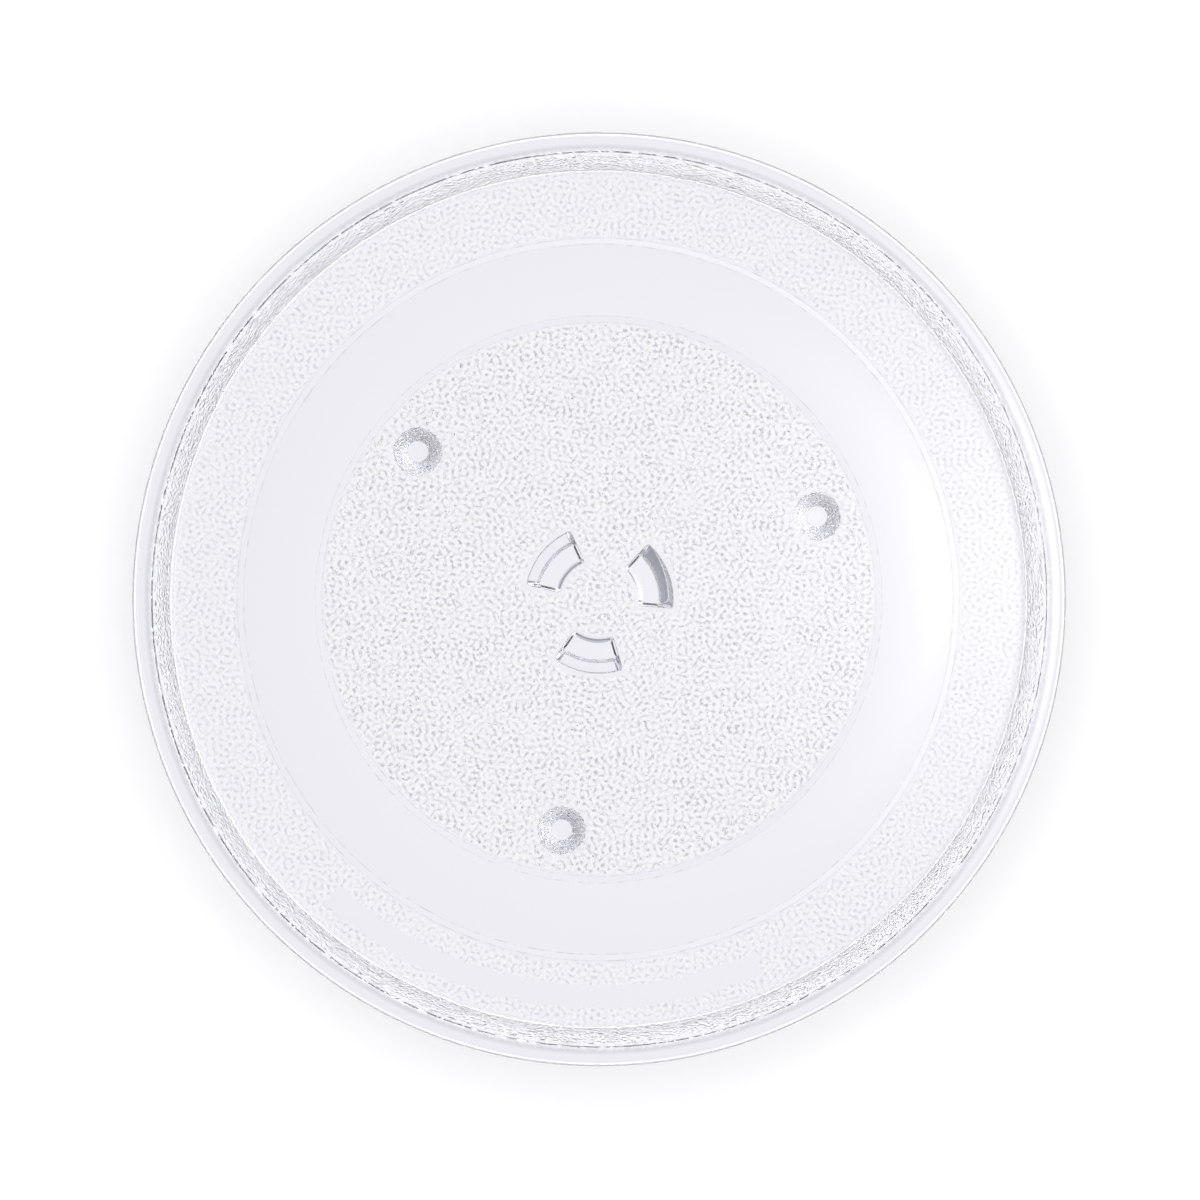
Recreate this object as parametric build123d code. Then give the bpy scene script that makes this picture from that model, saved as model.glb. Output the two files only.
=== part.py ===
from build123d import *
import math
import os

# Clear pressed-glass turntable plate of a microwave oven. Lengths are in millimetres, angles in degrees.
# The origin lies on the plane of the three feet, below the middle of the plate. +Z points up, to the food.
# One foot and one drive lug lie towards -Y, and the others follow at equal steps of a turn.

# Dish: the floor, the sloped wall and the lip, whose outer edge is rounded to a nose
plate_diameter = 318.0
tray_depth = 10.0
floor_thickness = 5.0
floor_corner_radius = 2.6
wall_angle = 60.0
wall_thickness = 2.7
lip_width = 7.0
lip_thickness = 4.0
lip_nose_reach = 1.55

# Roller track: a smooth shallow groove under the floor, with a sloped border on each side
track_inner_radius = 97.0
track_outer_radius = 121.5
track_depth = 0.5
track_border = 2.2

# Feet: blunt cones under the floor, inside the track, on which the plate stands when it is out of the oven
foot_count = 3
foot_track_gap = 6.4
foot_height = 6.2
foot_base_radius = 8.4
foot_end_radius = 3.3
foot_end_round = 0.8

# Drive lugs: sectors of a ring, upright towards the hub and sloped away at the back
lug_count = 3
lug_height = 5.6
lug_inner_radius = 14.3
lug_crest_width = 6.2
lug_back_angle = 43.0
lug_span = 52.0
lug_draft = 8.0
lug_corner_radius = 1.2
lug_end_bevel = 0.5

# Heights and places that follow from the sizes above
underside = foot_height
floor_top = underside + floor_thickness
lip_top = floor_top + tray_depth
lip_under = lip_top - lip_thickness
lug_end = underside - lug_height
inside_glass = underside + floor_thickness / 2
foot_circle_radius = track_inner_radius - track_border - foot_track_gap - foot_base_radius

# The first foot and the first lug point to the front
first_angle = -90.0

# A cubic whose handles reach this share of the way to the corner comes close to a circle's arc
round_pull = 0.5523


def soft_corner(before, corner, after, setback):
    """Cubic that rounds a corner of a section. It starts and ends at one setback from the corner."""
    corner = Vector(*corner)
    start = corner + (Vector(*before) - corner).normalized() * setback
    end = corner + (Vector(*after) - corner).normalized() * setback
    return Bezier(start, start + (corner - start) * round_pull, end + (corner - end) * round_pull, end)


def turned(*lines):
    """Turn a closed half section, with radii along X and heights along Y, about the plate's axis."""
    edges = [edge for line in lines for edge in line.edges()]
    return revolve(Plane.XZ * make_face(edges), Axis.Z)


def dish():
    """Floor, wall and lip as one turned section, with the roller track sunk into the underside."""
    rim_radius = plate_diameter / 2
    slope = math.tan(math.radians(wall_angle))
    wall_width = wall_thickness / math.sin(math.radians(wall_angle))
    shoulder = (rim_radius - lip_width, lip_top)
    floor_corner = (shoulder[0] - tray_depth / slope, floor_top)
    lip_root = (shoulder[0] + wall_width - lip_thickness / slope, lip_under)
    underside_corner = (shoulder[0] + wall_width - (lip_top - underside) / slope, underside)
    nose_start = (rim_radius - lip_nose_reach, lip_top)
    nose_tip = (rim_radius, lip_top - lip_thickness / 2)
    nose_end = (rim_radius - lip_nose_reach, lip_under)
    track_bottom = underside + track_depth

    nose = ThreePointArc(nose_start, nose_tip, nose_end)
    inside = FilletPolyline(
        (0, floor_top), floor_corner, shoulder, nose_start, radius=[floor_corner_radius, 0]
    )
    outside = FilletPolyline(
        nose_end,
        lip_root,
        underside_corner,
        (track_outer_radius + track_border, underside),
        (track_outer_radius, track_bottom),
        (track_inner_radius, track_bottom),
        (track_inner_radius - track_border, underside),
        (0, underside),
        radius=[0, floor_corner_radius + wall_thickness, 0, 0, 0, 0],
    )
    return turned(inside, nose, outside, Line((0, underside), (0, floor_top)))


def foot():
    """Blunt cone with a flat, softly rounded end, carried into the floor so that the two fuse."""
    root = (foot_base_radius, underside)
    end_round = soft_corner((0, 0), (foot_end_radius, 0), root, foot_end_round)
    body = Polyline(
        end_round @ 1,
        root,
        (foot_base_radius, inside_glass),
        (0, inside_glass),
        (0, 0),
        end_round @ 0,
    )
    return turned(end_round, body)


def drive_lug():
    """Lug on +X: a turned ring section, cut to a sector whose two sides lean by the draft angle."""
    draft_run = lug_height * math.tan(math.radians(lug_draft))
    back_run = lug_height * math.tan(math.radians(lug_back_angle))
    crest_radius = lug_inner_radius + lug_crest_width
    root_inner_radius = lug_inner_radius - draft_run
    root_outer_radius = crest_radius + back_run
    ring = turned(
        Polyline(
            (lug_inner_radius, lug_end),
            (crest_radius, lug_end),
            (root_outer_radius, underside),
            (root_outer_radius, inside_glass),
            (root_inner_radius, inside_glass),
            (root_inner_radius, underside),
            close=True,
        )
    )

    # The wedge widens upwards from the lug's end, so that the pressed lug leaves its mould
    reach = 2 * root_outer_radius
    half_width = reach * math.tan(math.radians(lug_span / 2))
    wedge_outline = make_face(Polyline((0, 0), (reach, -half_width), (reach, half_width), close=True))
    wedge = extrude(Pos(0, 0, lug_end) * wedge_outline, inside_glass - lug_end, taper=-lug_draft)
    lug = ring & wedge

    upright_edges = lug.edges().filter_by(lambda edge: spans_lug(edge.bounding_box()))
    lug = fillet(upright_edges, lug_corner_radius)
    return chamfer(lug.faces().sort_by(Axis.Z)[0].edges(), lug_end_bevel)


def spans_lug(box):
    """True for the bounds of an edge that runs from the lug's end to its root."""
    return abs(box.min.Z - lug_end) < 1e-3 and abs(box.max.Z - underside) < 1e-3


def turntable_plate():
    """The whole pressing: dish, feet and lugs in one piece."""
    plate = dish()
    for place in PolarLocations(foot_circle_radius, foot_count, start_angle=first_angle):
        plate += place * foot()
    for place in PolarLocations(0, lug_count, start_angle=first_angle):
        plate += place * drive_lug()
    return plate


os.makedirs("parts", exist_ok=True)
export_step(turntable_plate(), "parts/turntable_plate.step")
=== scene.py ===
# %% [markdown]
# # Microwave turntable plate
#
# The plate is one pressing of clear glass. A plunger shapes the smooth inside of the dish while the mould
# below shapes the underside: the stippled skin, the smooth roller track, three feet and three drive lugs.
# The lesson rebuilds it as one closed surface, because light bends at every face of the glass on its way
# through. Lengths are written in millimetres and turned into metres at the end.

# %% Load the frame
import math

import bpy
import numpy as np
from mathutils import Matrix, Vector
from mathutils.geometry import delaunay_2d_cdt


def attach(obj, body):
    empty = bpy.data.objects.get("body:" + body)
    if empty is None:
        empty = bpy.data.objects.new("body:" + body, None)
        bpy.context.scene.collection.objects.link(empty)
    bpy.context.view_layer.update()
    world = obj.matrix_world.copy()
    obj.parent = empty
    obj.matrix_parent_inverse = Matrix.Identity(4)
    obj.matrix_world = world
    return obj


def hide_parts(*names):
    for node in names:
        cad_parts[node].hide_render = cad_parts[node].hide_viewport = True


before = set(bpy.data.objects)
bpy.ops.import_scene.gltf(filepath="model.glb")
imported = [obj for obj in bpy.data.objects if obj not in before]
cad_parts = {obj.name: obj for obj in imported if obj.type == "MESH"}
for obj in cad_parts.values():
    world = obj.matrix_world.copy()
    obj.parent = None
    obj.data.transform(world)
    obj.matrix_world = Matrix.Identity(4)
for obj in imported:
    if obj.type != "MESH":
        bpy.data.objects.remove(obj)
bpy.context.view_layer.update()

# %% [markdown]
# ## Sizes
#
# These are the sizes of the CAD part. The small rounds are added here: a pressed edge is never quite sharp,
# and each round is what draws a thin dark or bright line in clear glass.

# %% Sizes in millimetres
MM = 0.001
TURN = 2 * np.pi

# Dish
RIM = 159.0
LIP_TOP = 21.2
LIP_THICKNESS = 4.0
LIP_WIDTH = 7.0
FLOOR_TOP = 11.2
UNDERSIDE = 6.2
WALL_SLOPE = 60.0
WALL_THICKNESS = 2.7
FLOOR_ROUND = 2.6
EDGE_ROUND = 0.4

# Roller track
TRACK = (97.0, 121.5)
TRACK_DEPTH = 0.5
TRACK_BORDER = 2.2

# Feet
FOOT_CIRCLE = 80.0
FOOT_BASE = 8.4
FOOT_END = 3.3
FOOT_END_ROUND = 0.8
FOOT_ROOT_ROUND = 1.0

# Drive lugs
LUG_END = 0.6
LUG_INNER = 14.3
LUG_CREST = 20.5
LUG_HALF_SPAN = 26.0
LUG_DRAFT = 8.0
LUG_BACK = 43.0
LUG_ROOT = 1.0

# Where the stipple ends under the lip, and the bare panel near the front of the rim
STIPPLE_END = 154.5
PANEL = (132.0, 140.0)
PANEL_HALF_SPAN = 33.0

# One foot and one lug lie at the front, the others at thirds of a turn
THIRDS = np.radians([-90.0, 30.0, 150.0])
print("plate", 2 * RIM, "mm wide and", LIP_TOP, "mm high")

# %% [markdown]
# ## The smooth side of the section
#
# The plunger side is polished: a flat floor, a round into the sloped wall, a crisp shoulder, the flat lip
# and its rounded nose. A section is a row of (radius, height) points that is turned about the axis. Straight
# runs need few points, and the small rounds need many, because a ray of light notices each change of slope.


# %% Curves of a section
def arc(centre, radius, start, end, steps):
    """Points of a circle: the centre plus the radius times cosine and sine of angles from start to end."""
    angle = np.radians(np.linspace(start, end, steps + 1))
    return np.stack([centre[0] + radius * np.cos(angle), centre[1] + radius * np.sin(angle)], axis=1)


def run(start, end, steps):
    """Points between two ends at equal steps, without the ends."""
    share = np.linspace(0, 1, steps + 1)[1:-1, None]
    return np.asarray(start) * (1 - share) + np.asarray(end) * share


slope = math.radians(WALL_SLOPE)
half_turn = math.tan(slope / 2)
wall_width = WALL_THICKNESS / math.sin(slope)
lip_under = LIP_TOP - LIP_THICKNESS
nose = LIP_THICKNESS / 2
shoulder = np.array([RIM - LIP_WIDTH, LIP_TOP])
floor_corner = np.array([shoulder[0] - (LIP_TOP - FLOOR_TOP) / math.tan(slope), FLOOR_TOP])
lip_root = np.array([shoulder[0] + wall_width - LIP_THICKNESS / math.tan(slope), lip_under])
under_corner = np.array([shoulder[0] + wall_width - (LIP_TOP - UNDERSIDE) / math.tan(slope), UNDERSIDE])
print("floor corner at", round(floor_corner[0], 2), "mm, lip root at", round(lip_root[0], 2), "mm")

# %% Section of the floor, wall and lip
FLOOR_RINGS = (25.0, 70.0, 110.0)
FLOOR_MARGIN = 1.5

floor_middle = floor_corner + [-FLOOR_ROUND * half_turn, FLOOR_ROUND]
floor_arc = arc(floor_middle, FLOOR_ROUND, -90, WALL_SLOPE - 90, 10)
shoulder_middle = shoulder + [EDGE_ROUND * half_turn, -EDGE_ROUND]
shoulder_arc = arc(shoulder_middle, EDGE_ROUND, WALL_SLOPE + 90, 90, 5)
nose_arc = arc((RIM - nose, LIP_TOP - nose), nose, 90, -90, 18)
stipple_end = np.array([STIPPLE_END, lip_under])
flat_radii = [*FLOOR_RINGS, floor_arc[0, 0] - FLOOR_MARGIN]

smooth_section = np.concatenate(
    [
        [(radius, FLOOR_TOP) for radius in flat_radii],
        floor_arc,
        run(floor_arc[-1], shoulder_arc[0], 8),
        shoulder_arc,
        run(shoulder_arc[-1], nose_arc[0], 4),
        nose_arc,
        run(nose_arc[-1], stipple_end, 3),
        [stipple_end],
    ]
)
print("smooth section", len(smooth_section), "points")

# %% [markdown]
# ## The stippled side of the wall
#
# Below the lip the mould's skin is stippled. The wall and the round under it are cut into rows about a
# millimetre apart, close enough for the pebbles to be real relief. The rows end on the join ring, where the
# flat underside begins.


# %% Section of the stippled wall
def even_rows(points, count):
    """Points at equal steps of arc length along a polyline, by linear interpolation."""
    step = np.hypot(*np.diff(points, axis=0).T)
    along = np.concatenate([[0], np.cumsum(step)])
    at = np.linspace(0, along[-1], count)
    return np.stack([np.interp(at, along, points[:, 0]), np.interp(at, along, points[:, 1])], axis=1), at


WALL_ROWS = 19
under_round = FLOOR_ROUND + WALL_THICKNESS
under_middle = under_corner + [-under_round * half_turn, under_round]
under_arc = arc(under_middle, under_round, WALL_SLOPE - 90, -90, 40)
root_middle = lip_root + [EDGE_ROUND * half_turn, -EDGE_ROUND]
root_arc = arc(root_middle, EDGE_ROUND, 90, WALL_SLOPE + 90, 3)
under_lip = np.array([stipple_end, (stipple_end + root_arc[0]) / 2])
wall_rows = even_rows(np.concatenate([root_arc[-1:], under_arc]), WALL_ROWS)[0]
wall_section = np.concatenate([under_lip, root_arc[:-1], wall_rows])
wall_along = np.concatenate([[0], np.cumsum(np.hypot(*np.diff(wall_section, axis=0).T))])
JOIN = wall_section[-1, 0]
print("stippled rows", len(wall_section), "down to the join ring at", round(JOIN, 2), "mm")

# %% [markdown]
# ## The pebbles of the stipple
#
# The stipple is a maze of small pebbles a little over 2 mm apart. A sum of many waves of nearly one length
# that run in all directions gives such a maze: it has a clear spacing and no direction. The wall is unrolled
# outwards for this, so that the pattern runs on over the join ring without a seam.

# %% Wave sum for the pebbles
PEBBLE = 2.1
PEBBLE_SPREAD = 0.2
PEBBLE_SEED = 11
RELIEF = 0.10


def pebbles(points, waves=56):
    """Sum of the cosines of (wave vector times point, plus phase), scaled to a spread of one."""
    rng = np.random.default_rng(PEBBLE_SEED)
    angle = (np.arange(waves) + rng.uniform(0, 1, waves)) * np.pi / waves
    number = TURN / PEBBLE * rng.uniform(1 - PEBBLE_SPREAD, 1 + PEBBLE_SPREAD, waves)
    vectors = np.stack([number * np.cos(angle), number * np.sin(angle)])
    return np.cos(points @ vectors + rng.uniform(0, TURN, waves)).sum(axis=1) * math.sqrt(2 / waves)


def ramp(low, high, value):
    """Smooth step: 0 below low, 1 above high, and 3 t squared minus 2 t cubed between."""
    t = np.clip((value - low) / (high - low), 0, 1)
    return t * t * (3 - 2 * t)


def painted_pebble_level(pattern):
    """Pebble pattern as a level about one half for the painted light: a half plus a share of the pattern."""
    return 0.5 + 0.35 * pattern


print("pebbles", PEBBLE, "mm apart with a relief of", RELIEF, "mm")

# %% [markdown]
# ## Drive lugs
#
# Each lug is a sector of a ring that hangs from the floor, upright towards the hub and sloped at the back.
# The oven's coupler reaches between the lugs and turns the plate. Seen from below a lug is a hill, so level
# outlines describe it: each is a sector with soft corners, and they widen from the crest to the root as the
# faces lean. The bevel at the crest is wide inside and narrow at the back, so that the inner edge draws a
# broad dark line and the ridge at the back a fine one.

# %% Level outlines of a lug
LUG_POINTS = 88
LUG_HEIGHT = UNDERSIDE - LUG_END
CORNER_BLUR = 0.55
OUTLINE_STEPS = 720


def lug_outline(level, inner_grow=0.0, side_grow=0.0, back_grow=0.0):
    """Outline of a lug on +X, at a level from 0 at the crest to 1 at the root.

    Two arcs and two straight sides, each shifted outwards by the lean of its face plus its own growth. A
    blur along the outline, done on its Fourier series, rounds the corners."""
    rise = LUG_HEIGHT * level
    lean = rise * math.tan(math.radians(LUG_DRAFT))
    inner = LUG_INNER - lean - inner_grow
    outer = LUG_CREST + rise * math.tan(math.radians(LUG_BACK)) + back_grow
    half = math.radians(LUG_HALF_SPAN)
    inner_half = half + math.asin((lean + side_grow) / inner)
    outer_half = half + math.asin((lean + side_grow) / outer)
    back = np.linspace(-outer_half, outer_half, 60)
    front = np.linspace(inner_half, -inner_half, 60)
    back_arc = np.stack([outer * np.cos(back), outer * np.sin(back)], axis=1)
    front_arc = np.stack([inner * np.cos(front), inner * np.sin(front)], axis=1)
    dense, along = even_rows(np.concatenate([back_arc, front_arc, back_arc[:1]]), OUTLINE_STEPS + 1)
    frequency = np.fft.fftfreq(OUTLINE_STEPS, d=along[1])
    blur = np.exp(-2 * (np.pi * frequency * CORNER_BLUR) ** 2)
    dense = np.fft.ifft(np.fft.fft(dense[:-1], axis=0) * blur[:, None], axis=0).real
    return dense[np.rint(np.arange(LUG_POINTS) * OUTLINE_STEPS / LUG_POINTS).astype(int)]


# %% Rings of a lug
def lug_rings():
    """Rings of (x, y, z) from the crest to the flat around the root.

    Each row holds the rise above the crest and the growth of the inner face, the sides and the back."""
    rows = [
        (0, -1.9, -1.5, -1.2),
        (0, -1.2, -0.8, -0.6),
        (0, -0.75, -0.42, -0.2),
        (0.02, -0.66, -0.34, -0.12),
        (0.08, -0.6, -0.29, -0.08),
        (0.36, -0.32, -0.15, -0.05),
        (0.62, -0.06, -0.03, -0.02),
        (0.7, 0, 0, 0),
    ]
    rows += [(LUG_HEIGHT * level, 0, 0, 0) for level in (0.17, 0.3, 0.5, 0.7, 0.86)]
    root = [(-0.35, 0), (-0.16, 0.03), (-0.05, 0.12), (0, 0.35), (0, LUG_ROOT)]
    rows += [(LUG_HEIGHT + drop, grow, grow, grow) for drop, grow in root]
    return np.array(
        [
            np.column_stack([lug_outline(rise / LUG_HEIGHT, *grow), np.full(LUG_POINTS, LUG_END + rise)])
            for rise, *grow in rows
        ]
    )


lug = lug_rings()
print("lug", lug.shape[0], "rings of", lug.shape[1], "points")

# %% [markdown]
# ## Feet
#
# The feet are blunt cones with a flat end that the plate stands on. Their sides carry the stipple, and
# their ends are smooth from the mould. Rings about the foot's own axis make it, with a curve at the end and
# one at the root.

# %% Rings of a foot
FOOT_POINTS = 54
FOOT_MIDDLE_RING = 1.3
foot_slope = np.array([FOOT_BASE - FOOT_END, UNDERSIDE])
foot_slope = foot_slope / np.hypot(*foot_slope)


def bent(start, corner, end, steps):
    """Curve from start to end that leans on a corner: the corner pulls it with a weight of 2 t (1 - t)."""
    t = np.linspace(0, 1, steps + 1)[:, None]
    return (1 - t) ** 2 * np.asarray(start) + 2 * t * (1 - t) * np.asarray(corner) + t**2 * np.asarray(end)


foot_end = np.array([FOOT_END, 0.0])
foot_root = np.array([FOOT_BASE, UNDERSIDE])
end_curve = bent(foot_end - [FOOT_END_ROUND, 0], foot_end, foot_end + FOOT_END_ROUND * foot_slope, 4)
root_start = foot_root - FOOT_ROOT_ROUND * foot_slope
root_curve = bent(root_start, foot_root, foot_root + [FOOT_ROOT_ROUND, 0], 4)
foot_flank = run(end_curve[-1], root_curve[0], 8)
foot_section = np.concatenate([[(FOOT_MIDDLE_RING, 0)], end_curve, foot_flank, root_curve])
print("foot", len(foot_section), "rings of", FOOT_POINTS, "points")

# %% [markdown]
# ## The underside as a plan
#
# Seen from below, every point of the underside has one height, so it is drawn as a flat plan first: rings at
# the borders of the track, outlines of the lugs and feet, the bare panel near the rim, and a lattice of
# points between them where the stipple is. A Delaunay triangulation joins them up. Each point also keeps a
# share of smoothness, which is 1 where the mould was polished and 0 where the stipple has its full relief.

# %% Start of the plan
WALL_POINTS = 900
JOIN_SMOOTH = 0.25


def circle(radius, count, phase=0.0):
    """Points at equal angles on a circle about the axis."""
    angle = phase + np.arange(count) * TURN / count
    return np.stack([radius * np.cos(angle), radius * np.sin(angle)], axis=1)


def turned(points, angle):
    """Points turned about the axis by an angle in radians."""
    c, s = math.cos(angle), math.sin(angle)
    return points @ np.array([[c, s], [-s, c]])


join_phase = (len(wall_section) - 1) % 2 * 0.5 * TURN / WALL_POINTS
plan = [circle(JOIN, WALL_POINTS, join_phase)]
height = [np.full(WALL_POINTS, UNDERSIDE)]
kept_smooth = [np.full(WALL_POINTS, JOIN_SMOOTH)]
edges = []


def add_ring(points, heights, smooth):
    """Adds a closed ring of plan points, with their heights and share of smoothness, and its edges."""
    index = sum(map(len, plan)) + np.arange(len(points))
    plan.append(points)
    height.append(np.broadcast_to(heights, len(points)))
    kept_smooth.append(np.broadcast_to(smooth, len(points)))
    edges.append(np.stack([index, np.roll(index, -1)], axis=1))


print("join ring of", WALL_POINTS, "points")

# %% Rings of the track, the lugs and the feet
BORDERS = (TRACK[0] - TRACK_BORDER, TRACK[0], TRACK[1], TRACK[1] + TRACK_BORDER)
BORDER_POINTS = 400
BORDER_REACH = 0.35
BORDER_SOFTNESS = 0.2
FOOT_SIDE_STIPPLE = 0.4
FOOT_STIPPLE_RISE = (0.5, 1.4)


def track_height(radius):
    """Height of the underside over the radius: flat, with the track cut in by two straight borders."""
    return UNDERSIDE + TRACK_DEPTH * np.interp(radius, BORDERS, [0, 1, 1, 0])


for border in BORDERS:
    for radius in (border - BORDER_REACH, border, border + BORDER_REACH):
        ends = track_height(radius - BORDER_SOFTNESS) + track_height(radius + BORDER_SOFTNESS)
        add_ring(circle(radius, BORDER_POINTS), ends / 2, 1.0)

for angle in THIRDS:
    for ring in lug:
        add_ring(turned(ring[:, :2], angle), ring[:, 2], 1.0)
    centre = FOOT_CIRCLE * np.array([math.cos(angle), math.sin(angle)])
    for radius, z in foot_section:
        smooth = 1 - FOOT_SIDE_STIPPLE * ramp(*FOOT_STIPPLE_RISE, z)
        add_ring(centre + circle(radius, FOOT_POINTS), z, smooth)
print("aligned points", sum(map(len, plan)))


# %% Insides of the lugs and feet
LUG_REACH = 40.0


def inside_lug(points, grow):
    """True for points inside one of the lugs' root outlines, grown by a margin.

    A ray from the point to the right crosses the outline an odd number of times."""
    outline = lug_outline(1, grow, grow, grow)
    ax, ay = outline.T
    bx, by = np.roll(outline, -1, axis=0).T
    found = np.zeros(len(points), bool)
    for angle in THIRDS:
        local = turned(points, -angle)
        near = np.flatnonzero((local[:, 0] > 0) & (np.hypot(*local.T) < LUG_REACH))
        x, y = local[near, 0][:, None], local[near, 1][:, None]
        edge_x = (bx - ax) * (y - ay) / np.where(by == ay, 1, by - ay) + ax
        crossing = ((ay > y) != (by > y)) & (x < edge_x)
        found[near[crossing.sum(axis=1) % 2 == 1]] = True
    return found


def near_foot(points, reach):
    """True for points within reach of the middle of a foot."""
    centres = FOOT_CIRCLE * np.stack([np.cos(THIRDS), np.sin(THIRDS)], axis=1)
    return (np.hypot(*(points[:, None] - centres).transpose(2, 0, 1)) < reach).any(axis=1)


lug_middle = np.array([[0.0, -LUG_CREST]])
print("middle of the front lug is inside:", inside_lug(lug_middle, LUG_ROOT)[0])


# %% Places that the lattice leaves free
def free(points, gap):
    """True for lattice points that keep a gap to the track, the join ring, the lugs and the feet."""
    radius = np.hypot(*points.T)
    reach = BORDER_REACH + gap
    clear = (radius < BORDERS[0] - reach) | (radius > BORDERS[-1] + reach)
    clear &= radius < JOIN - gap
    return clear & ~inside_lug(points, LUG_ROOT + gap) & ~near_foot(points, foot_section[-1, 0] + gap)


def in_panel(points):
    """True for points in the bare panel: between its two radii and within its span about the front."""
    radius = np.hypot(*points.T)
    off = np.abs(np.angle(np.exp(1j * (np.arctan2(points[:, 1], points[:, 0]) + np.pi / 2))))
    return (radius > PANEL[0]) & (radius < PANEL[1]) & (off < np.radians(PANEL_HALF_SPAN))


print("bare panel", PANEL[1] - PANEL[0], "mm wide over", 2 * PANEL_HALF_SPAN, "degrees")

# %% Lattice of the stipple
LATTICE_STEP = 1.0
LATTICE_GAP = 0.5
LATTICE_JITTER = 0.16
LATTICE_SEED = 3
OUTER_SMOOTH = 0.35


def lattice(step):
    """Points of a triangular lattice over the whole plan, each moved a little at random."""
    rng = np.random.default_rng(LATTICE_SEED)
    rows = np.arange(-JOIN, JOIN, step * math.sqrt(3) / 2)
    columns = np.arange(-JOIN, JOIN, step)
    x, y = np.meshgrid(columns, rows)
    x = x + (np.arange(len(rows)) % 2)[:, None] * step / 2
    points = np.stack([x.ravel(), y.ravel()], axis=1)
    return points + rng.uniform(-LATTICE_JITTER * step, LATTICE_JITTER * step, points.shape)


fine = lattice(LATTICE_STEP)
fine = fine[free(fine, LATTICE_GAP)]
outside_track = np.where(np.hypot(*fine.T) > TRACK[1], OUTER_SMOOTH, 0.0)
plan.append(fine)
height.append(np.full(len(fine), UNDERSIDE))
kept_smooth.append(np.where(in_panel(fine), 1.0, outside_track))
plan_points = np.concatenate(plan)
plan_height = np.concatenate(height)
plan_smooth = np.concatenate(kept_smooth)
print("plan points", len(plan_points))

# %% [markdown]
# ## Painted shade along the edges
#
# Where the glass turns a corner, some of the light leaves sideways and the eye sees a grey line. That line
# is painted shade in the tint. A share of it is kept for every point: a soft fall along the wall, a line on
# the shoulder and one at the outer edge, an uneven one where the stipple ends under the lip, and a faint one
# on each border of the track.

# %% Share of painted shade
WALL_PAINTED_SHADE = 0.24
WALL_TOP_PAINTED_SHADE = 0.07
SHOULDER_PAINTED_SHADE = 0.6
RIM_PAINTED_SHADE = 0.55
STIPPLE_END_PAINTED_SHADE = 0.33


def painted_shade_share(section):
    """Share of painted shade over the smooth section: the largest of the wall's, the shoulder's and the
    rim's.
    """
    radius, z = section.T
    foot, top = floor_corner[0], shoulder[0]
    on_wall = ramp(foot - 0.6, foot + 0.4, radius) * (1 - ramp(top - 0.4, top, radius))
    wall = on_wall * (WALL_PAINTED_SHADE * (1 - ramp(foot + 0.8, top - 1, radius)) + WALL_TOP_PAINTED_SHADE)
    line = SHOULDER_PAINTED_SHADE * (np.abs(radius - top - 0.04) < 0.14)
    rim = RIM_PAINTED_SHADE * ramp(RIM - 1.1, RIM - 0.3, radius) * (z > LIP_TOP - nose)
    return np.maximum(np.maximum(wall, line), rim)


smooth_painted_shade = painted_shade_share(smooth_section)
# Painted shade: a grey ring where the stipple ends under the lip.
smooth_painted_shade[-1] = STIPPLE_END_PAINTED_SHADE
print("grey on", np.count_nonzero(smooth_painted_shade), "rings of the smooth side")

# %% [markdown]
# ## One closed surface
#
# The plan is triangulated and lifted to its heights. The turned section is stitched ring by ring, and the
# last of its rings is the outermost ring of the plan, so the glass is closed. The pebbles push the stippled
# points in and out along the surface's own direction, and each point keeps its level in their pattern, which
# sets how much painted shade and painted highlight it gets.


# %% Stitching of rings
def ring_vertices(section, count, phase):
    """Vertices of a section point turned about the axis, at equal angles."""
    flat = circle(section[0], count, phase)
    return np.column_stack([flat, np.full(count, section[1])])


def stitched(first_a, count_a, phase_a, first_b, count_b, phase_b):
    """Triangles between two rings.

    Each edge of one ring takes the vertex of the other that is nearest in angle to the edge's middle. Ties
    go down for the first ring and up for the second, so that the two sets of triangles fit."""
    i = np.arange(count_a)
    j = np.arange(count_b)
    middle_a = phase_a + (i + 0.5) * TURN / count_a
    middle_b = phase_b + (j + 0.5) * TURN / count_b
    near_b = np.floor((middle_a - phase_b) * count_b / TURN + 0.5 - 1e-6).astype(int) % count_b
    near_a = np.floor((middle_b - phase_a) * count_a / TURN + 0.5 + 1e-6).astype(int) % count_a
    fan_a = np.stack([first_a + (i + 1) % count_a, first_a + i, first_b + near_b], axis=1)
    fan_b = np.stack([first_b + j, first_b + (j + 1) % count_b, first_a + near_a], axis=1)
    return np.concatenate([fan_a, fan_b])


print("rings of 4 and 8 points take", len(stitched(0, 4, 0.0, 4, 8, 0.0)), "triangles")

# %% Rings of the smooth side
SMOOTH_POINTS = 300
vertices = [np.array([[0.0, 0.0, FLOOR_TOP]])]
stipple = [np.zeros(1)]
pebble_painted_light = [np.zeros(1)]
painted_edge_shade = [np.zeros(1)]
rings = []


def add_turned(points, phase, skin, maze, grey):
    """Adds one ring of the turned section, with its share of stipple, its pebble level for the painted shade
    and highlight, and its share of painted edge shade.
    """
    rings.append((sum(map(len, vertices)), len(points), phase))
    vertices.append(points)
    stipple.append(np.broadcast_to(skin, len(points)))
    pebble_painted_light.append(np.broadcast_to(maze, len(points)))
    painted_edge_shade.append(np.broadcast_to(grey, len(points)))


for point, grey in zip(smooth_section, smooth_painted_shade):
    add_turned(ring_vertices(point, SMOOTH_POINTS, 0.0), 0.0, 0.0, 0.0, grey)
print("smooth rings", len(rings), "of", SMOOTH_POINTS, "points")

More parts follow.
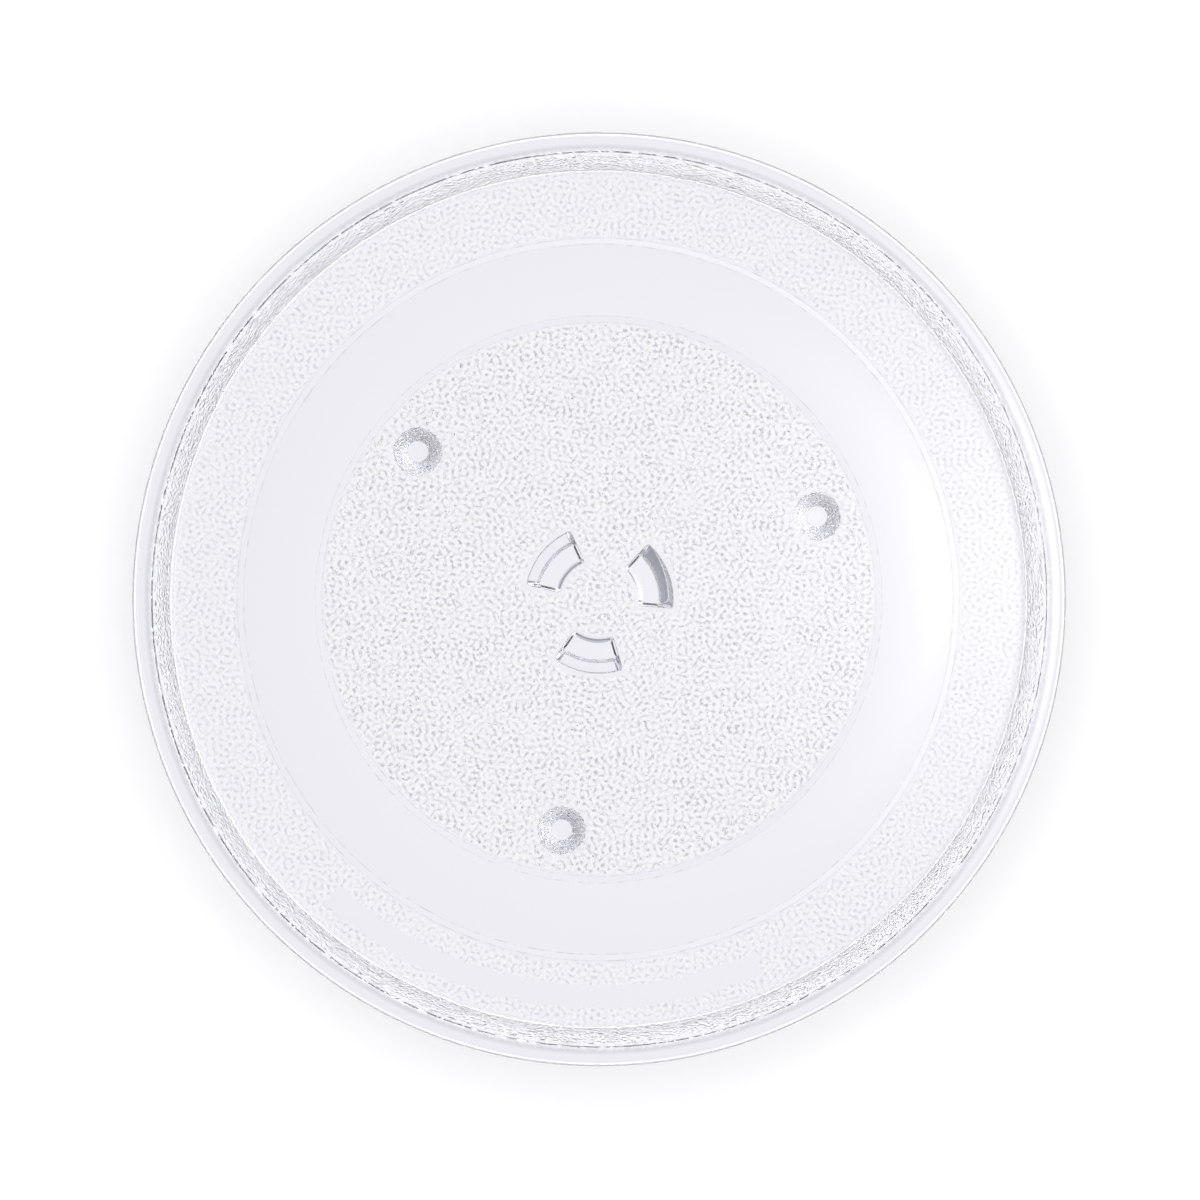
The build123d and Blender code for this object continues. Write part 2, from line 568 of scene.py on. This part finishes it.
# %% Rings of the stippled wall
WALL_RELIEF = 0.33
CORNER_RELIEF = 0.3
LIP_RELIEF = 1.0
WALL_SKIN = 0.36
# Painted shade: a grey line with darker dots where the stipple ends under the lip.
LIP_LINE_PAINTED_SHADE = 0.25
LIP_DOTS_PAINTED_SHADE = 0.3

wall_normal = np.gradient(wall_section, axis=0)
wall_normal = np.stack([-wall_normal[:, 1], wall_normal[:, 0]], axis=1)
wall_normal /= np.hypot(*wall_normal.T)[:, None]
wall_strength = WALL_RELIEF + CORNER_RELIEF * (1 - ramp(UNDERSIDE, UNDERSIDE + 2, wall_section[:, 1]))
wall_strength[wall_section[:, 1] > lip_under - 0.2] = LIP_RELIEF

for row, point in enumerate(wall_section[1:-1], start=1):
    phase = row % 2 * 0.5 * TURN / WALL_POINTS
    pattern = pebbles(circle(JOIN + wall_along[-1] - wall_along[row], WALL_POINTS, phase))
    push = wall_strength[row] * RELIEF * pattern
    moved = ring_vertices(point, WALL_POINTS, phase)
    moved[:, :2] += circle(1, WALL_POINTS, phase) * (push * wall_normal[row, 0])[:, None]
    moved[:, 2] += push * wall_normal[row, 1]
    # Painted shade on the first row under the lip: grey, darker where the pebbles rise.
    lip_painted_shade = LIP_LINE_PAINTED_SHADE + LIP_DOTS_PAINTED_SHADE * ramp(-0.2, 0.6, pattern)
    add_turned(moved, phase, WALL_SKIN, painted_pebble_level(pattern), lip_painted_shade if row == 1 else 0.0)
print("wall rings", len(wall_section) - 2, "of", WALL_POINTS, "points")

# %% Lift the plan
BORDER_SKIN = 0.6
# Painted shade: a faint grey line on each border of the track.
BORDER_PAINTED_SHADE = 0.22
SLANT_SHIFT = 0.6

join_first = sum(map(len, vertices))
rings.append((join_first, WALL_POINTS, join_phase))
plan_pattern = pebbles(plan_points + SLANT_SHIFT * (UNDERSIDE - plan_height)[:, None])
plan_push = RELIEF * plan_pattern * (1 - plan_smooth)
from_axis = np.hypot(*plan_points.T)[:, None]
on_border = (np.abs(from_axis - np.array(BORDERS)) < 0.1).any(axis=1)
vertices.append(np.column_stack([plan_points, plan_height - plan_push]))
stipple.append(np.where(on_border, BORDER_SKIN, 1 - plan_smooth))
# Pebble level of each point, which sets its painted shade in the hollows and painted highlight on the tops.
pebble_painted_light.append(painted_pebble_level(plan_pattern))
# Painted shade on the track borders.
painted_edge_shade.append(np.where(on_border, BORDER_PAINTED_SHADE, 0.0))
print("relief up to", round(float(np.abs(plan_push).max()), 3), "mm")

# %% Triangles
i = np.arange(SMOOTH_POINTS)
triangles = [np.stack([np.zeros(SMOOTH_POINTS, int), i + 1, (i + 1) % SMOOTH_POINTS + 1], axis=1)]
triangles += [stitched(*inner, *outer) for inner, outer in zip(rings, rings[1:])]

cut = delaunay_2d_cdt(plan_points.tolist(), np.concatenate(edges).tolist(), [], 0, 1e-6)
assert len(cut[0]) == len(plan_points)
faces = np.array(cut[2])
one_way, other_way = np.diff(plan_points[faces], axis=1).transpose(1, 2, 0)
area = one_way[0] * other_way[1] - one_way[1] * other_way[0]
faces = np.where(area[:, None] > 0, faces[:, ::-1], faces)
triangles.append(join_first + faces)

vertices = np.concatenate(vertices) * MM
triangles = np.concatenate(triangles)
print("glass", len(vertices), "vertices and", len(triangles), "triangles")

# %% Make the mesh
mesh = bpy.data.meshes.new("turntable_plate_glass")
mesh.from_pydata(vertices.tolist(), [], triangles.tolist())
for name, parts in (("stipple", stipple), ("pebble_painted_light", pebble_painted_light), ("painted_edge_shade", painted_edge_shade)):
    values = np.concatenate(parts).astype(np.float32)
    mesh.attributes.new(name, "FLOAT", "POINT").data.foreach_set("value", values)
mesh.polygons.foreach_set("use_smooth", np.ones(len(triangles), bool))
mesh.update()
plate = bpy.data.objects.new("turntable_plate_glass", mesh)
bpy.context.scene.collection.objects.link(plate)
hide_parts("turntable_plate")
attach(plate, "root")
print("mesh", mesh.name, "with", len(mesh.polygons), "faces")

# %% [markdown]
# ## Nodes
#
# Colours are written as the screen shows them, in sRGB, while the renderer counts light, so each is turned
# to linear first. One function adds a node: an input that is given another node's output is linked to it,
# and any other value is set on the socket.


# %% Colours and nodes
def linear(code):
    """Linear colour of an sRGB hex code: c / 12.92 below 0.04045, else ((c + 0.055) / 1.055) to the 2.4."""
    value = np.array([int(code[i:i + 2], 16) for i in (1, 3, 5)]) / 255
    value = np.where(value <= 0.04045, value / 12.92, ((value + 0.055) / 1.055) ** 2.4)
    return (*value, 1.0)


def add_node(tree, kind, inputs, **settings):
    """Adds a node with its settings, and links or sets its inputs, which are given by name or number."""
    node = tree.nodes.new(kind)
    for name, value in settings.items():
        setattr(node, name, value)
    for name, value in inputs.items():
        if isinstance(value, bpy.types.NodeSocket):
            tree.links.new(value, node.inputs[name])
        else:
            node.inputs[name].default_value = value
    return node


def empty_tree(owner):
    """Node tree of a material or world, with nothing in it."""
    owner.use_nodes = True
    owner.node_tree.nodes.clear()
    return owner.node_tree


WHITE = (1.0, 1.0, 1.0, 1.0)
print("paper white in linear light", round(linear("#F5F5F5")[0], 3))

# %% [markdown]
# ## Glass
#
# The plate is soda-lime glass, pressed and fire-polished. It bends light by 1.52 and is almost without
# colour, with a faint cool tint. To the eye the polished parts are clear, and the stippled skin is a maze of
# white pebbles with pale grey between them. The pebbles are relief in the mesh, and their light and shade
# are
# painted into the tint by their level: painted shade in the hollows, which in the glass send some light
# aside, and painted highlight on the tops. The grains on them, about 0.8 mm across, are a noise that is
# drawn coarser and deeper than the real ones so that it sparkles at this size.

# %% Grain of the skin
GRAINS_PER_MM = 1.2
GRAIN_DEPTH = 0.7

glass = bpy.data.materials.new("pressed soda-lime glass")
tree = empty_tree(glass)
where = add_node(tree, "ShaderNodeTexCoord", {})
skin_share = add_node(tree, "ShaderNodeAttribute", {}, attribute_name="stipple")
grain = add_node(
    tree,
    "ShaderNodeTexNoise",
    {"Vector": where.outputs["Object"], "Scale": GRAINS_PER_MM / MM, "Detail": 0.0},
)
centred = add_node(tree, "ShaderNodeMath", {0: grain.outputs["Fac"], 1: 0.5}, operation="SUBTRACT")
masked = add_node(
    tree, "ShaderNodeMath", {0: centred.outputs[0], 1: skin_share.outputs["Fac"]}, operation="MULTIPLY"
)
bump = add_node(
    tree, "ShaderNodeBump", {"Height": masked.outputs[0], "Strength": 1.0, "Distance": GRAIN_DEPTH * MM}
)
print("grain scale", grain.inputs["Scale"].default_value, "per metre")

# %% Tints of the glass, with painted shade and painted highlight
CLEAR = "#F1F1F7"
PEBBLE_PAINTED_SHADE = "#A9ABB7"
PEBBLE_PAINTED_HIGHLIGHT = "#FFFFFF"
# Grey of the painted shade along the edges.
PAINTED_EDGE_SHADE_GREY = "#8A8D94"
PAINTED_HIGHLIGHT_FROM = 0.58

# Painted light of the pebbles: painted shade in the hollows and painted highlight on the tops, by their
# level.
maze = add_node(tree, "ShaderNodeAttribute", {}, attribute_name="pebble_painted_light")
painted_light_share = add_node(
    tree,
    "ShaderNodeMapRange",
    {"Value": maze.outputs["Fac"], "From Min": 0.0, "From Max": PAINTED_HIGHLIGHT_FROM},
    clamp=True,
)
skin = add_node(
    tree,
    "ShaderNodeMix",
    {0: painted_light_share.outputs["Result"], 6: linear(PEBBLE_PAINTED_SHADE), 7: linear(PEBBLE_PAINTED_HIGHLIGHT)},
    data_type="RGBA",
)
tint = add_node(
    tree,
    "ShaderNodeMix",
    {0: skin_share.outputs["Fac"], 6: linear(CLEAR), 7: skin.outputs[2]},
    data_type="RGBA",
)
# Painted shade along the edges: the tint turns grey by the share kept on each point.
painted_shade_attr = add_node(tree, "ShaderNodeAttribute", {}, attribute_name="painted_edge_shade")
with_painted_shade = add_node(
    tree,
    "ShaderNodeMix",
    {0: painted_shade_attr.outputs["Fac"], 6: tint.outputs[2], 7: linear(PAINTED_EDGE_SHADE_GREY)},
    data_type="RGBA",
)
body = add_node(
    tree,
    "ShaderNodeBsdfPrincipled",
    {
        "Base Color": with_painted_shade.outputs[2],
        "Roughness": 0.0,
        "IOR": 1.52,
        "Transmission Weight": 1.0,
        "Normal": bump.outputs["Normal"],
    },
)
add_node(tree, "ShaderNodeOutputMaterial", {"Surface": body.outputs["BSDF"]})
mesh.materials.append(glass)
print("glass material with", len(tree.nodes), "nodes")

# %% [markdown]
# ## Paper
#
# The plate lies on a white paper sweep. Clear glass shows what is behind it, so the paper is plain white to
# rays that come through the glass, and mostly lit paper to the camera, which keeps the soft shade around the
# rim. Its back lets light through, so that the underside can be looked at from below.

# %% Paper material
SEEN_WHITE = 0.2
MIRRORED_WHITE = 0.6

paper = bpy.data.materials.new("white paper sweep")
tree = empty_tree(paper)
path = add_node(tree, "ShaderNodeLightPath", {})
seen = add_node(
    tree, "ShaderNodeMath", {0: path.outputs["Is Camera Ray"], 1: SEEN_WHITE}, operation="MULTIPLY"
)
in_glass = add_node(
    tree,
    "ShaderNodeMath",
    {0: path.outputs["Is Glossy Ray"], 1: MIRRORED_WHITE, 2: path.outputs["Is Transmission Ray"]},
    operation="MULTIPLY_ADD",
)
white_share = add_node(tree, "ShaderNodeMath", {0: in_glass.outputs[0], 1: seen.outputs[0]}, operation="ADD")
lit = add_node(tree, "ShaderNodeBsdfDiffuse", {"Color": linear("#F5F5F5")})
own = add_node(tree, "ShaderNodeEmission", {"Color": WHITE, "Strength": 1.0})
front = add_node(
    tree, "ShaderNodeMixShader", {"Fac": white_share.outputs[0], 1: lit.outputs[0], 2: own.outputs[0]}
)
side_seen = add_node(tree, "ShaderNodeNewGeometry", {})
back_side = add_node(tree, "ShaderNodeBsdfTransparent", {})
sheet = add_node(
    tree,
    "ShaderNodeMixShader",
    {"Fac": side_seen.outputs["Backfacing"], 1: front.outputs[0], 2: back_side.outputs[0]},
)
add_node(tree, "ShaderNodeOutputMaterial", {"Surface": sheet.outputs[0]})
print("paper material with", len(tree.nodes), "nodes")


# %% Paper floor
def stage_object(name, points, polygons, material):
    """Object of the studio, from points and polygons, that belongs to no body of the part."""
    stage_mesh = bpy.data.meshes.new(name)
    stage_mesh.from_pydata(points, [], polygons)
    stage_mesh.materials.append(material)
    stage = bpy.data.objects.new(name, stage_mesh)
    bpy.context.scene.collection.objects.link(stage)
    return stage


PAPER_HALF = 1.5
PAPER_DROP = 0.0002
SQUARE = np.array([(-1.0, -1.0, 0.0), (1.0, -1.0, 0.0), (1.0, 1.0, 0.0), (-1.0, 1.0, 0.0)])

floor = stage_object("studio_floor", (PAPER_HALF * SQUARE).tolist(), [(0, 1, 2, 3)], paper)
floor.location.z = -PAPER_DROP
print("paper", 2 * PAPER_HALF, "m wide")

# %% [markdown]
# ## Room
#
# The room above is dim and a little cool, as behind a camera in a studio. Light that is thrown back up by
# the bevels of the lugs ends there, which is why those edges look dark. The camera itself sees white.

# %% World
ROOM_LIGHT = 0.4

world = bpy.data.worlds.new("studio")
bpy.context.scene.world = world
tree = empty_tree(world)
room = add_node(tree, "ShaderNodeBackground", {"Color": linear("#F2F4FF"), "Strength": ROOM_LIGHT})
white = add_node(tree, "ShaderNodeBackground", {"Color": WHITE, "Strength": 1.0})
path = add_node(tree, "ShaderNodeLightPath", {})
both = add_node(
    tree,
    "ShaderNodeMixShader",
    {"Fac": path.outputs["Is Camera Ray"], 1: room.outputs[0], 2: white.outputs[0]},
)
add_node(tree, "ShaderNodeOutputWorld", {"Surface": both.outputs[0]})
print("room light", ROOM_LIGHT)

# %% [markdown]
# ## Light tent
#
# A ring of cloth around the plate gives soft light from the sides. In clear glass the flank of a foot or a
# lug is a mirror that shows one side of the room, so the tent is bright on the right and dim on the left.
# Flanks that face left then turn white, and those that face right stay dark. Three rings share the work: one
# is seen through the glass, one is mirrored on it, and one lights the paper evenly.

# %% Cloth of the tent
BAND_RADIUS = 2.2
BAND_LOW = 2
BAND_HIGH = 66
BAND_TURNS = 72
BAND_ROWS = 17

tent = bpy.data.materials.new("light tent cloth")
tree = empty_tree(tent)
glow_share = add_node(tree, "ShaderNodeAttribute", {}, attribute_name="glow")
own = add_node(tree, "ShaderNodeEmission", {"Color": WHITE, "Strength": glow_share.outputs["Fac"]})
add_node(tree, "ShaderNodeOutputMaterial", {"Surface": own.outputs[0]})


def light_band(name, glow, scale):
    """Ring of cloth, part of a sphere. glow(turn, rise) gives its brightness over the turn and the rise."""
    rises = np.radians(np.linspace(BAND_LOW, BAND_HIGH, BAND_ROWS))
    turn, rise = np.meshgrid(np.linspace(0, TURN, BAND_TURNS, endpoint=False), rises)
    ball = np.stack([np.cos(rise) * np.cos(turn), np.cos(rise) * np.sin(turn), np.sin(rise)], axis=-1)
    row, column = np.meshgrid(np.arange(BAND_ROWS - 1), np.arange(BAND_TURNS), indexing="ij")
    low = row * BAND_TURNS
    high = low + BAND_TURNS
    after = (column + 1) % BAND_TURNS
    quads = np.stack([low + column, high + column, high + after, low + after], axis=-1).reshape(-1, 4)
    band = stage_object(name, (BAND_RADIUS * ball).reshape(-1, 3).tolist(), quads.tolist(), tent)
    values = glow(turn, rise).ravel().astype(np.float32)
    band.data.attributes.new("glow", "FLOAT", "POINT").data.foreach_set("value", values)
    band.scale = (scale, scale, scale)
    band.visible_camera = False
    return band


print("tent cloth", BAND_RADIUS, "m from the plate")

# %% Brightness of the tent
SIDE_LIGHT_FROM = 35
DIM_SIDE = 0.75
BRIGHT_SIDE = 1.9
STRIP_LIGHT = 12.0
PAPER_LIGHT_FROM = 54
PAPER_LIGHT = 1.55
PAPER_LIGHT_LEAN = 0.14


def one_sided(turn, rise):
    """Bright on the right and dim on the left, soft towards the upper and lower edge."""
    side = 0.5 + 0.5 * np.cos(turn - math.radians(SIDE_LIGHT_FROM))
    rise = np.degrees(rise)
    return (DIM_SIDE + BRIGHT_SIDE * side**1.5 * ramp(1, 7, rise)) * (1 - ramp(46, 66, rise))


def bright_strip(turn, rise):
    """The one-sided light with a narrow ring about twenty degrees up that is brighter all round."""
    ring = np.degrees(rise)
    return one_sided(turn, rise) + STRIP_LIGHT * ramp(10, 15, ring) * (1 - ramp(26, 32, ring))


def even(turn, rise):
    """Nearly the same all round, a little stronger from the back right."""
    side = np.cos(turn - math.radians(PAPER_LIGHT_FROM))
    return PAPER_LIGHT * (1 + PAPER_LIGHT_LEAN * side) * ramp(10, 20, np.degrees(rise))


through_glass = light_band("one_sided_band", one_sided, 1.0)
through_glass.visible_diffuse = False
on_glass = light_band("strip_band", bright_strip, 0.98)
on_glass.visible_diffuse = False
on_glass.visible_transmission = False
on_paper = light_band("even_band", even, 1.02)
on_paper.visible_glossy = False
on_paper.visible_transmission = False
print("bands", through_glass.name, on_glass.name, on_paper.name)

# %% [markdown]
# ## Overhead cloths
#
# The glare on the right of the plate is the mirror image of a soft lamp above. Two square cloths make it:
# a small bright one, and a wide dim one that spreads it. Each fades from its middle to nothing and casts no
# shadow.


# %% Cloths above the plate
def overhead_cloth(name, cloth_name, place, half, strength):
    """Square cloth whose glow falls from its middle with the square of one minus the distance."""
    cloth = bpy.data.materials.new(cloth_name)
    tree = empty_tree(cloth)
    where = add_node(tree, "ShaderNodeTexCoord", {})
    fall = add_node(
        tree, "ShaderNodeTexGradient", {"Vector": where.outputs["Object"]}, gradient_type="QUADRATIC_SPHERE"
    )
    glow = add_node(tree, "ShaderNodeMath", {0: fall.outputs["Fac"], 1: strength}, operation="MULTIPLY")
    own = add_node(tree, "ShaderNodeEmission", {"Color": WHITE, "Strength": glow.outputs[0]})
    clear = add_node(tree, "ShaderNodeBsdfTransparent", {})
    both = add_node(tree, "ShaderNodeAddShader", {0: own.outputs[0], 1: clear.outputs[0]})
    add_node(tree, "ShaderNodeOutputMaterial", {"Surface": both.outputs[0]})
    square = stage_object(name, SQUARE.tolist(), [(0, 3, 2, 1)], cloth)
    square.location = place
    square.scale = (half, half, 1)
    square.visible_camera = False
    square.visible_shadow = False
    return square


diffuser = overhead_cloth("overhead_diffuser", "diffuser cloth", (0.36, 0.09, 1.7), 0.3, 3.7)
ceiling = overhead_cloth("ceiling_glow", "dim ceiling", (0.2, 0.05, 1.75), 0.6, 0.7)
print("cloths", diffuser.name, ceiling.name)

# %% [markdown]
# ## Camera
#
# The picture is taken from almost straight above, with a long lens so that the rim stays a circle. The plate
# is turned a little, and the camera leans to the side by two degrees.

# %% Camera
ROLL = math.radians(9.2)
TILT = math.radians(2.2)
DISTANCE = 2.2
SENSOR = 36
LENS = 193.9
TARGET = Vector((-0.0001, -0.00025, 0.0195))

right = Vector((math.cos(ROLL), math.sin(ROLL), 0))
up = Vector((-math.sin(ROLL), math.cos(ROLL), 0))
back = (Vector((0, 0, 1)) - right * math.tan(TILT)).normalized()
side_axis = up.cross(back).normalized()
turn = Matrix((side_axis, back.cross(side_axis), back)).transposed()

camera_data = bpy.data.cameras.new("camera")
camera_data.sensor_width = SENSOR
camera_data.lens = LENS
camera = bpy.data.objects.new("camera", camera_data)
camera.matrix_world = Matrix.Translation(TARGET + back * DISTANCE) @ turn.to_4x4()
bpy.context.scene.collection.objects.link(camera)
bpy.context.scene.camera = camera
bpy.context.scene.view_settings.view_transform = "Standard"
print("camera at", tuple(round(v, 3) for v in camera.matrix_world.translation))
